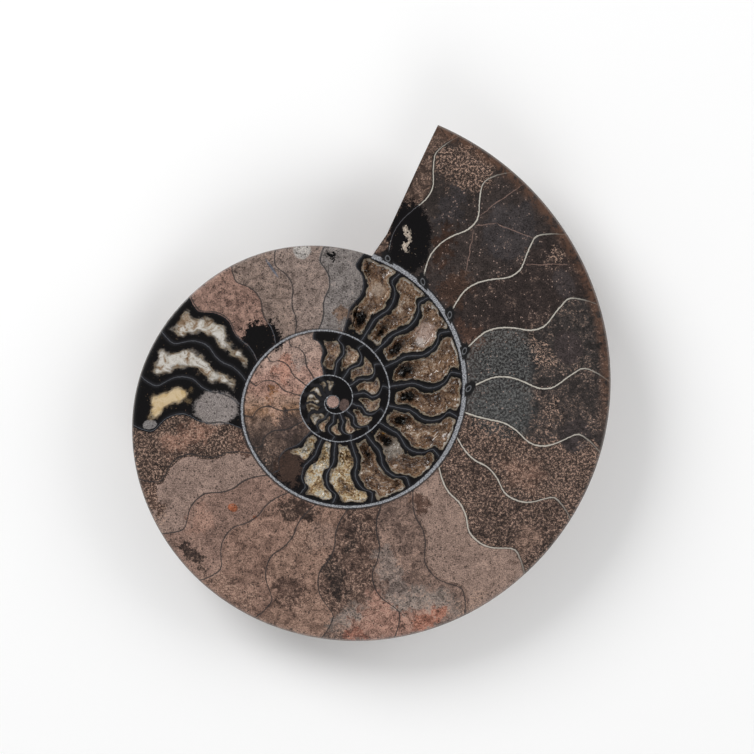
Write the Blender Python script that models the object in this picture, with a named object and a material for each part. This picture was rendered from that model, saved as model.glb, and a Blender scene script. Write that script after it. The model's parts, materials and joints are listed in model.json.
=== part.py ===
"""One half of an ammonite fossil, sawn through the middle and polished on the cut.

The stone lies on its domed back with the cut face up. The cut face is drawn in a frame of its own: the first
chamber of the shell at the origin, the mouth of the shell towards +Y, and the stone below z = 0. Angles there are
in degrees, anticlockwise from +X, and run on past 360 as the shell winds outwards. Everything is then turned
together into the pose in which the stone comes to rest.
"""

import math

import bmesh
import bpy
import numpy as np
from mathutils import Matrix, Vector

MM = 0.001
TURN = 360.0

# The shell's spiral: the wall's radius in millimetres at every eighth of a turn, from the first chamber outwards
FIRST_WALL_ANGLE = -1035.0
WALL_STEP = 45.0
WALL_RADII = (
    2.6, 2.6, 2.8, 3.3, 3.9, 4.7, 5.9, 7.8, 9.4, 10.8, 12.2, 13.5, 14.5, 16.1, 18.7, 22.8, 25.9,
    29.0, 32.8, 37.1, 39.2, 42.6, 48.2, 53.6, 59.1, 63.6, 71.3, 81.5, 90.0, 97.6, 105.2, 113.6, 119.1, 123.4,
)
MOUTH_ANGLE = 435.0
MOUTH_LEAN = 2.8
MOUTH_FILLET = 3.0
MOUTH_BLEND = 20.0

# The back: each whorl is a low dome that laps over the one before, around a sunken navel
HALF_BREADTH = 0.235
NAVEL_SHARE = 0.28
CREST_SHARE = 0.3
RIM = 1.5
RIB_PERIOD = 16.0
RIB_HEIGHT = 0.6
RIB_SWEEP = 14.0

# The septa, the walls between chambers: where the waist of each one stands on the spiral
INNER_SEPTA = (-487.0, -459.0, -432.0, -406.0, -379.0, -353.0, -328.0, -305.0, -282.3, -258.8)
MIDDLE_SEPTA = (-134.8, -113.8, -94.8, -73.2, -52.0, -31.7, -10.9, 8.1, 27.4, 44.6, 58.9, 75.2)
LAST_CREAM_SEPTUM = -80.0
WAVE_STATIONS = np.linspace(0.0, 1.0, 11)
SEPTUM_WAVE = np.array((0.36, 0.31, 0.29, 0.27, 0.15, 0.02, 0.0, 0.10, 0.25, 0.24, 0.14))
INNER_WAVE_GAIN = 1.4
INNER_WAVE_ENDS = -300.0

# The open chambers: how much calcite lines the walls, how deep they go, and what part of the chamber is open
MIDDLE_LINING = 2.3
INNER_LINING = 1.5
NARROWEST_HALF = 1.0
MIDDLE_DEPTH = 6.5
CREAM_DEPTH = 3.2
INNER_DEPTH = 2.6
MIDDLE_REACH = (0.09, 0.9)
CREAM_REACH = (0.1, 0.88)
SMALL_CREAM_REACH = (0.1, 0.46)
INNER_REACH = (0.13, 0.72)

# The crusts of crystals that line the open chambers
CRUST_GAP = 0.35
CRUST_TOP = 0.5
CRUST_THICKNESS = 0.9
CRYSTAL_RISE = 0.45
CRUST_COLUMNS = 4
OUTLINE_STATIONS = 6
CUTTER_TOP = 2.0

COLUMNS = 90
INNER_COLUMNS = 45
ROWS_BELOW_SEAM = 3
ROWS_ABOVE_SEAM = 6
MERGE = 0.02


def clear_scene():
    for existing in list(bpy.data.objects):
        bpy.data.objects.remove(existing)


def material(name, colour, roughness):
    made = bpy.data.materials.new(name)
    made.use_nodes = True
    shader = made.node_tree.nodes["Principled BSDF"]
    shader.inputs["Base Color"].default_value = (*colour, 1.0)
    shader.inputs["Roughness"].default_value = roughness
    shader.inputs["Metallic"].default_value = 0.0
    return made


def wall_radius(angle):
    """The shell wall's distance from the first chamber, in millimetres, read smoothly between the stations."""
    logs = np.log(np.array(WALL_RADII))
    slopes = np.gradient(logs)
    place = (np.asarray(angle, float) - FIRST_WALL_ANGLE) / WALL_STEP
    place = np.clip(place, 0.0, len(logs) - 1.001)
    station = place.astype(int)
    t = place - station
    start = (2 * t**3 - 3 * t**2 + 1) * logs[station] + (t**3 - 2 * t**2 + t) * slopes[station]
    end = (3 * t**2 - 2 * t**3) * logs[station + 1] + (t**3 - t**2) * slopes[station + 1]
    return np.maximum(np.exp(start + end), WALL_RADII[0])


def septum_angle(waist, spacing, across):
    """Where a septum crosses the share `across` of its whorl, from the inner wall, 0, to the outer wall, 1."""
    gain = np.where(waist < INNER_WAVE_ENDS, INNER_WAVE_GAIN, 1.0)
    return waist + gain * spacing * np.interp(across, WAVE_STATIONS, SEPTUM_WAVE)


def face_point(angle, across):
    """The plan position, in millimetres, of a point of the coiled tube."""
    inner = wall_radius(angle - TURN)
    radius = inner + across * (wall_radius(angle) - inner)
    turn = np.radians(angle)
    return radius * np.cos(turn), radius * np.sin(turn), radius


def lean_to_mouth(angle, across):
    """Shears the last columns so that the outermost one runs along the broken mouth of the shell."""
    lean = MOUTH_LEAN * across + MOUTH_FILLET * (1.0 - (1.0 - across) ** 8)
    share = np.clip((angle - (MOUTH_ANGLE - MOUTH_BLEND)) / MOUTH_BLEND, 0.0, 1.0)
    return angle - lean * share


def whorl_depth(angle, radius):
    """How far one whorl's flank stands below the cut face at this distance from the centre."""
    outer = wall_radius(angle)
    share = (radius - NAVEL_SHARE * outer) / ((1.0 - NAVEL_SHARE) * outer)
    inside = (share > 0.0) & (share < 1.0)
    share = np.clip(share, 0.0, 1.0)
    outwards = np.clip((share - CREST_SHARE) / (1.0 - CREST_SHARE), 0.0, 1.0)
    inwards = np.clip((CREST_SHARE - share) / CREST_SHARE, 0.0, 1.0)
    profile = (1.0 - outwards**2) ** 0.62 * (1.0 - inwards**3.5) ** 0.45
    ribs = np.cos(np.radians(angle + RIB_SWEEP * share**2) * TURN / RIB_PERIOD)
    rib_height = RIB_HEIGHT * (outer / WALL_RADII[-1]) * np.sin(np.pi * share**1.3) ** 2
    return np.where(inside, HALF_BREADTH * outer * profile + ribs * rib_height, 0.0)


def back_depth(angle, radius):
    """The depth of the whole back: the fattest of the whorls that cover a point."""
    depth = np.zeros_like(radius)
    for later_turns in range(4):
        covering = angle + TURN * later_turns
        here = whorl_depth(covering, radius)
        depth = np.maximum(depth, np.where(covering < MOUTH_ANGLE - 0.01, here, 0.0))
    mouth_section = whorl_depth(np.full_like(radius, MOUTH_ANGLE), radius)
    depth = np.where(angle >= MOUTH_ANGLE - 0.01, mouth_section, depth)
    return depth + RIM


def row_share(angle, row):
    """Spreads the rows of the back so that one of them follows the foot of the next whorl."""
    inner = wall_radius(angle - TURN)
    seam = (NAVEL_SHARE * wall_radius(angle + TURN) - inner) / (wall_radius(angle) - inner + 1e-6)
    last = MOUTH_ANGLE - TURN
    seam_at_last = (NAVEL_SHARE * wall_radius(last + TURN) - wall_radius(last - TURN)) / (
        wall_radius(last) - wall_radius(last - TURN)
    )
    seam = np.clip(np.where(angle > last, seam_at_last, seam), 0.15, 0.5)
    below = row / ROWS_BELOW_SEAM * seam
    above = seam + (row - ROWS_BELOW_SEAM) / ROWS_ABOVE_SEAM * (1.0 - seam)
    return np.where(row <= ROWS_BELOW_SEAM, below, above)


def add_turn(bm, first_angle, columns, halve_outer_edge):
    """One turn of the back as a flat grid of angle against row, its outer edge split to meet a finer turn."""
    rows = ROWS_BELOW_SEAM + ROWS_ABOVE_SEAM
    made = bmesh.ops.create_grid(bm, x_segments=columns, y_segments=rows, size=0.5)["verts"]
    for vertex in made:
        vertex.co.x = first_angle + (vertex.co.x + 0.5) * TURN
        vertex.co.y = (vertex.co.y + 0.5) * rows
    if halve_outer_edge:
        own = set(made)
        edges = [
            edge
            for edge in bm.edges
            if set(edge.verts) <= own and all(abs(vertex.co.y - rows) < 1e-4 for vertex in edge.verts)
        ]
        bmesh.ops.subdivide_edges(bm, edges=edges, cuts=1)


def body_mesh():
    """The stone as sawn: the coiled back, the broken mouth, the rim and the flat cut face."""
    bm = bmesh.new()
    first = MOUTH_ANGLE - TURN
    add_turn(bm, first, COLUMNS, False)
    add_turn(bm, first - TURN, COLUMNS, False)
    add_turn(bm, first - 2 * TURN, INNER_COLUMNS, True)
    add_turn(bm, first - 3 * TURN, INNER_COLUMNS, False)
    vertices = list(bm.verts)
    flat = np.array([vertex.co[:] for vertex in vertices])
    across = row_share(flat[:, 0], flat[:, 1])
    leaning = lean_to_mouth(flat[:, 0], across)
    x, y, _ = face_point(leaning, across)
    # The rows keep the radius that they had before the lean, so that the outer edge stays on the spiral
    _, _, radius = face_point(flat[:, 0], across)
    depth = back_depth(flat[:, 0], radius)
    for vertex, px, py, below in zip(vertices, x, y, depth):
        vertex.co = Vector((px, py, -below)) * MM
    bmesh.ops.remove_doubles(bm, verts=bm.verts[:], dist=MERGE * MM)
    bmesh.ops.dissolve_degenerate(bm, edges=bm.edges[:], dist=MERGE * MM)

    # The first chamber closes the middle, and the outer edge is carried up to the cut face
    loops = [edge for edge in bm.edges if edge.is_boundary]
    small = [edge for edge in loops if edge.verts[0].co.to_2d().length < 2 * WALL_RADII[0] * MM]
    large = [edge for edge in loops if edge not in set(small)]
    bmesh.ops.contextual_create(bm, geom=small)
    wall = bmesh.ops.extrude_edge_only(bm, edges=large)["geom"]
    raised = [item for item in wall if isinstance(item, bmesh.types.BMVert)]
    for vertex in raised:
        vertex.co.z = 0.0
    top = [item for item in wall if isinstance(item, bmesh.types.BMEdge) and item.is_boundary]
    bmesh.ops.contextual_create(bm, geom=top)
    bmesh.ops.recalc_face_normals(bm, faces=bm.faces[:])
    return bm


def chamber_stations(waist, next_waist, lining, reach, shrink):
    """Across an open chamber: the angle of its middle, half its opening and its radius, in degrees and millimetres."""
    spacing = next_waist - waist
    shares = np.linspace(0.0, 1.0, OUTLINE_STATIONS)
    eased = 0.5 - 0.5 * np.cos(np.pi * shares)
    low, high = reach
    across = low + (high - low) * eased
    left = septum_angle(waist, spacing, across)
    right = septum_angle(next_waist, spacing, across)
    middle = 0.5 * (left + right)
    _, _, radius = face_point(middle, across)
    full_half = np.maximum(0.5 * np.radians(right - left) * radius - lining, NARROWEST_HALF)
    half = full_half * (1.0 - (0.93 * np.abs(2.0 * eased - 1.0)) ** 4) ** 0.5 - shrink
    return middle, half, radius + shrink * np.cos(np.pi * shares)


def hollow_outline(waist, next_waist, lining, reach):
    """The rim of an open chamber, as plan points in millimetres, anticlockwise."""
    middle, half, radius = chamber_stations(waist, next_waist, lining, reach, 0.0)
    sides = []
    for sign in (1.0, -1.0):
        turned = np.radians(middle) + sign * half / radius
        sides.append(list(zip(radius * np.cos(turned), radius * np.sin(turned))))
    return sides[0][::-1] + sides[1]


def prism(bm, outline, top, bottom):
    """A closed prism on this outline."""
    vertices = [bm.verts.new((x * MM, y * MM, top * MM)) for x, y in outline]
    lid = bm.faces.new(vertices)
    floor = bmesh.ops.extrude_face_region(bm, geom=[lid])["geom"]
    lowered = [item for item in floor if isinstance(item, bmesh.types.BMVert)]
    for vertex in lowered:
        vertex.co.z = bottom * MM


def crust_mesh(waist, next_waist, lining, reach, depth, seed):
    """A crust of crystals: high along the chamber's sides, low and pointed in its middle, and flat underneath."""
    chance = np.random.default_rng(seed)
    middle, half, radius = chamber_stations(waist, next_waist, lining, reach, CRUST_GAP)
    under = depth - CRUST_GAP
    last = OUTLINE_STATIONS - 1
    bm = bmesh.new()
    grid = bmesh.ops.create_grid(bm, x_segments=CRUST_COLUMNS, y_segments=last, size=0.5)["verts"]
    for vertex in grid:
        side = 2.0 * vertex.co.x
        station = round((vertex.co.y + 0.5) * last)
        turned = math.radians(middle[station]) + side * half[station] / radius[station]
        at_side = abs(side) > 0.99 or station in (0, last)
        crystals = under - CRUST_THICKNESS - CRYSTAL_RISE * chance.uniform(0.0, 2.0)
        level = CRUST_TOP if at_side else max(crystals, CRUST_TOP)
        place = (radius[station] * math.cos(turned), radius[station] * math.sin(turned), -level)
        vertex.co = Vector(place) * MM
    base = bmesh.ops.extrude_face_region(bm, geom=bm.faces[:])["geom"]
    for item in base:
        if isinstance(item, bmesh.types.BMVert):
            item.co.z = -under * MM
    bmesh.ops.triangulate(bm, faces=bm.faces[:])
    bmesh.ops.recalc_face_normals(bm, faces=bm.faces[:])
    return bm


def open_chambers():
    """Every open chamber: its two septa, its lining, how far it reaches across, its depth, and if it is cream."""
    first, second = MIDDLE_SEPTA[:2]
    chambers = [(first, second, MIDDLE_LINING, SMALL_CREAM_REACH, CREAM_DEPTH, True)]
    for waist, following in zip(MIDDLE_SEPTA[1:-1], MIDDLE_SEPTA[2:]):
        cream = waist < LAST_CREAM_SEPTUM
        reach, depth = (CREAM_REACH, CREAM_DEPTH) if cream else (MIDDLE_REACH, MIDDLE_DEPTH)
        chambers.append((waist, following, MIDDLE_LINING, reach, depth, cream))
    for waist, following in zip(INNER_SEPTA[:-1], INNER_SEPTA[1:]):
        chambers.append((waist, following, INNER_LINING, INNER_REACH, INNER_DEPTH, False))
    return chambers


def add_object(name, bm, finish, parent):
    mesh = bpy.data.meshes.new(name)
    bm.to_mesh(mesh)
    bm.free()
    if finish:
        mesh.materials.append(finish)
    made = bpy.data.objects.new(name, mesh)
    bpy.context.scene.collection.objects.link(made)
    made.parent = parent
    return made


def resting_matrix(mesh):
    """The turn that puts the stone down on its back as it comes to rest, with the middle of its base at the origin."""
    hull = bmesh.new()
    hull.from_mesh(mesh)
    volume = hull.calc_volume()
    centre = Vector()
    for triangle in hull.calc_loop_triangles():
        a, b, c = (loop.vert.co for loop in triangle)
        centre += a.dot(b.cross(c)) / 6.0 * (a + b + c) / 4.0
    centre /= volume
    result = bmesh.ops.convex_hull(hull, input=hull.verts[:])
    inner = [item for item in result["geom_interior"] if isinstance(item, bmesh.types.BMVert)]
    bmesh.ops.delete(hull, geom=inner, context="VERTS")
    best_normal, best_distance = Vector((0.0, 0.0, -1.0)), math.inf
    for face in hull.faces:
        face.normal_update()
        if face.normal.z > -0.5:
            continue
        distance = (face.verts[0].co - centre).dot(face.normal)
        foot = centre + face.normal * distance
        if distance < best_distance and bmesh.geometry.intersect_face_point(face, foot):
            best_normal, best_distance = face.normal.copy(), distance
    hull.free()
    turn = best_normal.rotation_difference(Vector((0.0, 0.0, -1.0))).to_matrix().to_4x4()
    corners = [turn @ vertex.co for vertex in mesh.vertices]
    low = Vector([min(corner[axis] for corner in corners) for axis in range(3)])
    high = Vector([max(corner[axis] for corner in corners) for axis in range(3)])
    return Matrix.Translation((-(low.x + high.x) / 2, -(low.y + high.y) / 2, -low.z)) @ turn


def build():
    clear_scene()
    stone = material("polished_stone", (0.2, 0.15, 0.13), 0.25)
    druse = material("brown_crystals", (0.36, 0.27, 0.19), 0.35)
    calcite = material("cream_calcite", (0.68, 0.6, 0.45), 0.3)
    resting = bpy.data.objects.new("resting_pose", None)
    bpy.context.scene.collection.objects.link(resting)

    fossil = add_object("fossil_half", body_mesh(), stone, resting)
    resting.matrix_world = resting_matrix(fossil.data)

    cutters = bmesh.new()
    for number, (waist, following, lining, reach, depth, cream) in enumerate(open_chambers(), 1):
        prism(cutters, hollow_outline(waist, following, lining, reach), CUTTER_TOP, -depth)
        crust = crust_mesh(waist, following, lining, reach, depth, number)
        add_object(f"crystal_crust_{number:02d}", crust, calcite if cream else druse, resting)
    bmesh.ops.recalc_face_normals(cutters, faces=cutters.faces[:])
    cutter = add_object("chamber_cutter", cutters, None, resting)
    cutter.hide_render = True
    cutter.display_type = "WIRE"
    carve = fossil.modifiers.new("open_chambers", "BOOLEAN")
    carve.operation = "DIFFERENCE"
    carve.solver = "EXACT"
    carve.object = cutter


build()
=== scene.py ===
"""The looks of one half of an ammonite fossil, sawn and polished, lying on its back on a pale table."""

import json
import math

import bmesh
import bpy
import numpy as np
from mathutils import Matrix, Vector, noise

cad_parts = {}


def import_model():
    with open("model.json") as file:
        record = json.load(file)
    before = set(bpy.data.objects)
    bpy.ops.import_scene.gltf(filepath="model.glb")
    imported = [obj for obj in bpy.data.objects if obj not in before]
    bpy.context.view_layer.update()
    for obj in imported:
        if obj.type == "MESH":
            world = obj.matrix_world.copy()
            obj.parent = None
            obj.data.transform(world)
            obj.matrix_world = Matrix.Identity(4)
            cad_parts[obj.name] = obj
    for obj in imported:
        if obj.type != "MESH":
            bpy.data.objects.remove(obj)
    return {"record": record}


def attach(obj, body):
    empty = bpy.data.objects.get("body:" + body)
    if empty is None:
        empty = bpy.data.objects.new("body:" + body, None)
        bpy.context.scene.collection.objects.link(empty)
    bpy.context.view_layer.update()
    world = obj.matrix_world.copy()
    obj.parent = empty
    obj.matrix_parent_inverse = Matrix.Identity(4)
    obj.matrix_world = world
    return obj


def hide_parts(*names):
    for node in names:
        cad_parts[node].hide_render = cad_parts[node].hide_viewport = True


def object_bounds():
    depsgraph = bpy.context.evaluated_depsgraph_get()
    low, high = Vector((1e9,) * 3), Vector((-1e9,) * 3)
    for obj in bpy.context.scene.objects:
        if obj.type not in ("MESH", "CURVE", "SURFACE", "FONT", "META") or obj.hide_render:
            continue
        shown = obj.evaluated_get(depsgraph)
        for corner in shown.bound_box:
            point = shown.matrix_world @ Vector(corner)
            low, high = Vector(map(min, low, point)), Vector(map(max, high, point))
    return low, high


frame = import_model()
cad_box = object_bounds()

# The stone's shape: a coiled shell filled with mudstone and calcite and turned to stone, then sawn along its
# middle. The flat cut face is drawn with the first chamber at the origin and the mouth towards +Y, in
# millimetres, and the domed back below it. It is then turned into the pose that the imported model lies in.

MM = 0.001
TURN = 360.0
FIRST_WALL_ANGLE = -1035.0
WALL_STEP = 45.0
WALL_RADII = (
    2.6, 2.6, 2.8, 3.3, 3.9, 4.7, 5.9, 7.8, 9.4, 10.8, 12.2, 13.5, 14.5, 16.1, 18.7, 22.8, 25.9,
    29.0, 32.8, 37.1, 39.2, 42.6, 48.2, 53.6, 59.1, 63.6, 71.3, 81.5, 90.0, 97.6, 105.2, 113.6, 119.1, 123.4,
)
MOUTH_ANGLE = 435.0
MOUTH_LEAN = 2.8
MOUTH_FILLET = 3.0
MOUTH_BLEND = 20.0
HALF_BREADTH = 0.235
NAVEL_SHARE = 0.28
CREST_SHARE = 0.3
RIM = 1.5
POLISHED_EDGE = 0.35
RIB_PERIOD = 16.0
RIB_HEIGHT = 0.6
RIB_SWEEP = 14.0
FACE_TURNS = ((720, 34), (720, 30), (360, 22), (360, 8))
BACK_TURNS = ((720, 14), (720, 9), (360, 8), (360, 4))
MERGE = 0.01


def smooth_between(t, start, start_slope, end, end_slope):
    """A smooth way from one value to the next, with the slopes that it leaves and arrives with."""
    leaving = (2 * t**3 - 3 * t**2 + 1) * start + (t**3 - 2 * t**2 + t) * start_slope
    return leaving + (3 * t**2 - 2 * t**3) * end + (t**3 - t**2) * end_slope


def wall_radius(angle):
    """The shell wall's distance from the first chamber, read smoothly between the stations."""
    logs = np.log(np.array(WALL_RADII))
    slopes = np.gradient(logs)
    place = np.clip((np.asarray(angle, float) - FIRST_WALL_ANGLE) / WALL_STEP, 0.0, len(logs) - 1.001)
    station = place.astype(int)
    following = station + 1
    log = smooth_between(place - station, logs[station], slopes[station], logs[following], slopes[following])
    return np.maximum(np.exp(log), WALL_RADII[0])


def tube_radius(angle, across):
    """The distance from the centre at a share across the coiled tube, from its inner to its outer wall."""
    inner = wall_radius(angle - TURN)
    return inner + across * (wall_radius(angle) - inner)


def lean_to_mouth(angle, across):
    """Shears the last columns so that the outermost one runs along the broken mouth of the shell."""
    lean = MOUTH_LEAN * across + MOUTH_FILLET * (1.0 - (1.0 - across) ** 8)
    return angle - lean * np.clip((angle - (MOUTH_ANGLE - MOUTH_BLEND)) / MOUTH_BLEND, 0.0, 1.0)


def whorl_depth(angle, radius):
    """How far one whorl's flank stands below the cut face: a low dome with swept ribs round a navel."""
    outer = wall_radius(angle)
    share = (radius - NAVEL_SHARE * outer) / ((1.0 - NAVEL_SHARE) * outer)
    inside = (share > 0.0) & (share < 1.0)
    share = np.clip(share, 0.0, 1.0)
    outwards = np.clip((share - CREST_SHARE) / (1.0 - CREST_SHARE), 0.0, 1.0)
    inwards = np.clip((CREST_SHARE - share) / CREST_SHARE, 0.0, 1.0)
    profile = (1.0 - outwards**2) ** 0.62 * (1.0 - inwards**3.5) ** 0.45
    ribs = np.cos(np.radians(angle + RIB_SWEEP * share**2) * TURN / RIB_PERIOD)
    rib_height = RIB_HEIGHT * (outer / WALL_RADII[-1]) * np.sin(np.pi * share**1.3) ** 2
    return np.where(inside, HALF_BREADTH * outer * profile + ribs * rib_height, 0.0)


def back_depth(angle, radius):
    """The depth of the whole back: the fattest of the whorls that cover a point."""
    depth = np.zeros_like(radius)
    for later_turns in range(4):
        covering = angle + TURN * later_turns
        here = whorl_depth(covering, radius)
        depth = np.maximum(depth, np.where(covering < MOUTH_ANGLE - 0.01, here, 0.0))
    mouth_section = whorl_depth(np.full_like(radius, MOUTH_ANGLE), radius)
    return np.where(angle >= MOUTH_ANGLE - 0.01, mouth_section, depth) + RIM


# The septa, the thin walls between the chambers. Each stands at its own angle, and waves across the whorl in
# the way of its part of the shell. The waves are in degrees, or in shares of the spacing in the inner whorls.

STATIONS = np.array((0.0, 0.1, 0.2, 0.3, 0.4, 0.5, 0.6, 0.7, 0.76, 0.8, 0.9, 1.0))
STEPPED_WAVE = np.array((0.38, 0.33, 0.29, 0.27, 0.15, 0.02, 0.0, 0.06, 0.14, 0.27, 0.26, 0.17))
SWEPT_WAVE = np.array((13.0, 8.0, 5.5, 5.0, 3.0, 0.0, -0.4, 1.0, 3.0, 4.2, 3.5, 1.5))
CURLED_WAVE = np.array((0.5, 3.2, 4.7, 4.1, 2.2, 0.0, -0.2, 2.0, 3.1, 3.7, 2.4, 0.0))
EARLY_WAVE = 0.75 * SWEPT_WAVE - 0.6
FIRST_SEPTA = (-738.0, -712.0, -686.0, -661.0, -636.0, -612.0, -589.0, -564.5, -540.0, -514.0)
INNER_SEPTA = (-487.0, -459.0, -432.0, -406.0, -379.0, -353.0, -328.0, -305.0, -282.3)
MUD_SEPTA = (-258.8, -239.0, -219.0, -199.0, -176.0, -154.0)
MIDDLE_SEPTA = (-134.8, -113.8, -94.8, -73.2, -52.0, -31.7, -10.9, 8.1, 27.4, 44.6, 58.9)
LAST_SEPTA = (
    75.2, 92.4, 110.1, 126.1, 142.5, 156.5, 171.1, 185.1, 200.2, 216.0, 231.7, 248.5,
    265.7, 283.1, 300.2, 316.5, 332.2, 348.4, 363.9, 379.9, 395.4, 411.9, 428.3, 446.0,
)
SEPTA = FIRST_SEPTA + INNER_SEPTA + MUD_SEPTA + MIDDLE_SEPTA + LAST_SEPTA


def septum_number(angle):
    """The place in the shell's own count of the septum that is listed at this angle."""
    return min(range(len(SEPTA)), key=lambda number: abs(SEPTA[number] - angle))


def septum_row(number):
    """One septum's angle at every listed station across its whorl."""
    waist = SEPTA[number]
    following = SEPTA[min(number + 1, len(SEPTA) - 1)]
    spacing = following - waist if following > waist else 16.0
    if waist < LAST_SEPTA[0] + 1.0:
        gain = 1.4 if waist < -300.0 else 1.0
        return waist + gain * spacing * STEPPED_WAVE
    if waist < 200.0:
        later = np.clip((waist - 130.0) / 70.0, 0.0, 1.0)
        return waist + (1.0 - later) * EARLY_WAVE + later * SWEPT_WAVE
    curl = np.clip((waist - 335.0) / 30.0, 0.0, 1.0)
    return waist + (1.0 - curl) * SWEPT_WAVE + curl * CURLED_WAVE


def smooth_row(values):
    """The listed stations joined by a smooth curve and read at many even ones."""
    slopes = np.gradient(values, STATIONS)
    place = np.clip(np.searchsorted(STATIONS, FINE_STATIONS, side="right") - 1, 0, len(STATIONS) - 2)
    following = place + 1
    width = STATIONS[following] - STATIONS[place]
    t = (FINE_STATIONS - STATIONS[place]) / width
    leaving, arriving = width * slopes[place], width * slopes[following]
    return smooth_between(t, values[place], leaving, values[following], arriving)


FINE_STATIONS = np.linspace(0.0, 1.0, 61)
SEPTUM_ROWS = np.array([smooth_row(septum_row(number)) for number in range(len(SEPTA))])


def septum_angles(across):
    """Every septum's angle at each of these shares across the whorl."""
    place = np.clip(across, 0.0, 1.0) * (len(FINE_STATIONS) - 1)
    station = np.minimum(place.astype(int), len(FINE_STATIONS) - 2)
    share = place - station
    return SEPTUM_ROWS[:, station] * (1.0 - share) + SEPTUM_ROWS[:, station + 1] * share


def chamber_place(angle, across):
    """The chamber coordinate, whole at every septum, and the angle from one septum to the next."""
    rows = septum_angles(across)
    passed = np.clip((rows <= angle).sum(axis=0) - 1, 0, len(SEPTA) - 2)
    column = np.arange(len(angle))
    here = rows[passed, column]
    spacing = rows[passed + 1, column] - here
    return passed + (angle - here) / spacing, spacing


# The filled and the hollow chambers. In the middle whorl they are lined with dark calcite and stand open.
# Further in they are smaller and shallower. Some of the outer whorl and the very first are filled flush.

NO_CORE = 30.0
HOLLOW_DEPTH = 6.2
CORES = {}


def core(septum, lining, low, high, depth):
    """The core of the chamber after this septum: its lining, its reach across the whorl and its depth."""
    CORES[septum_number(septum)] = (lining, low, high, depth)


for early in FIRST_SEPTA[4:]:
    core(early, 0.95, 0.26, 0.68, 0.0)
for inner in INNER_SEPTA:
    core(inner, 1.7, 0.15, 0.74, 1.0 if inner < -420.0 else 2.4)
core(-134.8, 1.9, 0.07, 0.46, 2.6)
core(-113.8, 1.9, 0.05, 0.92, 2.4)
core(-94.8, 1.9, 0.06, 0.92, 2.6)
for middle in MIDDLE_SEPTA[3:]:
    core(middle, 2.05, 0.08, 0.94, HOLLOW_DEPTH)
core(142.5, 4.6, 0.1, 0.9, 0.0)
core(156.5, 4.6, 0.12, 0.9, 0.0)
core(171.1, 5.0, 0.5, 0.84, 0.0)


def smooth_most(a, b, width):
    """The larger of two distances, rounded where they meet."""
    mix = np.clip(0.5 + 0.5 * (a - b) / width, 0.0, 1.0)
    return b + (a - b) * mix + width * mix * (1.0 - mix)


def core_distance(angle, across):
    """How far a point is from the rim of its chamber's core, less than nothing inside it, and three more:
    the core's depth, the chamber's breadth here in millimetres and the chamber coordinate."""
    chamber, spacing = chamber_place(angle, across)
    radius = tube_radius(angle, across)
    width = wall_radius(angle) - wall_radius(angle - TURN)
    lining = np.full_like(angle, NO_CORE)
    low = np.zeros_like(angle)
    high = np.ones_like(angle)
    depth = np.zeros_like(angle)
    for number, values in CORES.items():
        here = np.floor(chamber) == number
        lining[here], low[here], high[here], depth[here] = values
    pitch = np.radians(spacing) * radius
    sideways = np.abs(chamber % 1.0 - 0.5) * pitch - (0.5 * pitch - lining)
    lengthways = np.maximum(low - across, across - high) * width
    turn = np.radians(angle)
    plan = np.stack((radius * np.cos(turn), radius * np.sin(turn)), axis=1)
    ripple = np.array([noise.noise(Vector((x * 0.34, y * 0.34, 1.7))) for x, y in plan])
    grain = np.array([noise.noise(Vector((x * 1.3, y * 1.3, 5.1))) for x, y in plan])
    size = np.clip(lining / 2.0, 0.4, 1.6)
    rim = smooth_most(sideways, lengthways, 1.2 * size) + (1.25 * ripple + 0.4 * grain) * size
    return np.where(lining < NO_CORE, np.clip(rim, -NO_CORE, NO_CORE), NO_CORE), depth, pitch, chamber


def pit_level(rim, depth, across):
    """How far down the floor of an open chamber lies: steep at its rim, deepest towards the inner wall."""
    slope = np.clip(-rim / np.maximum(0.42 * depth, 0.6), 0.0, 1.0)
    inner_end = np.exp(-(((across - 0.24) / 0.13) ** 2))
    return depth * (0.5 + 0.5 * inner_end) * (slope * (2.0 - slope)) ** 0.8


# The stone body: the face as a fine grid along the coiled tube, with the open chambers sunk into it, and the
# back as a coarser grid. Both are merged along the tube's walls, and the broken mouth is closed.

UP = Vector((0.0, 0.0, 1.0))
BACK = 1
BREAK = 2
WALL_ANGLES = (-1000.0, -650.0, -400.0, -300.0, -275.0, -180.0, -120.0, -60.0, -20.0, 75.0)
WALL_THICKNESS = (0.25, 0.35, 0.4, 0.5, 0.6, 0.9, 0.9, 1.0, 1.6, 1.8)
FACE_MOUNT_POINT = Vector((0.0, -70.0, 0.0)) * MM
CENTRE_REACH = 2 * WALL_RADII[0] * MM
MOUTH_FOOT = (float(wall_radius(MOUTH_ANGLE - TURN)) - 0.5) * MM
BREAK_DEPTH = RIM + 0.1
RIM_MERGE = 0.05
LONGEST_SNAP = 6.0
OUTER_ROW = 0.9999


def resting_pose():
    """The turn from the cut face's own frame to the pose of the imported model, read from its mount."""
    mount = next(mount for mount in frame["record"]["mounts"] if mount["name"] == "cut_face")
    turn = UP.rotation_difference(Vector(mount["axis"])).to_matrix().to_4x4()
    return Matrix.Translation(Vector(mount["pos_m"])) @ turn @ Matrix.Translation(-FACE_MOUNT_POINT)


RESTING = resting_pose()


def turn_grid(bm, turn, columns, rows):
    """One turn of the face or of the back as a flat grid of angle against share across."""
    made = bmesh.ops.create_grid(bm, x_segments=columns, y_segments=rows, size=0.5)["verts"]
    first = MOUTH_ANGLE - TURN * (turn + 1)
    flat = np.array([vertex.co[:2] for vertex in made])
    return made, first + (flat[:, 0] + 0.5) * TURN, np.clip(flat[:, 1] + 0.5, 0.0, 1.0)


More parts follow.
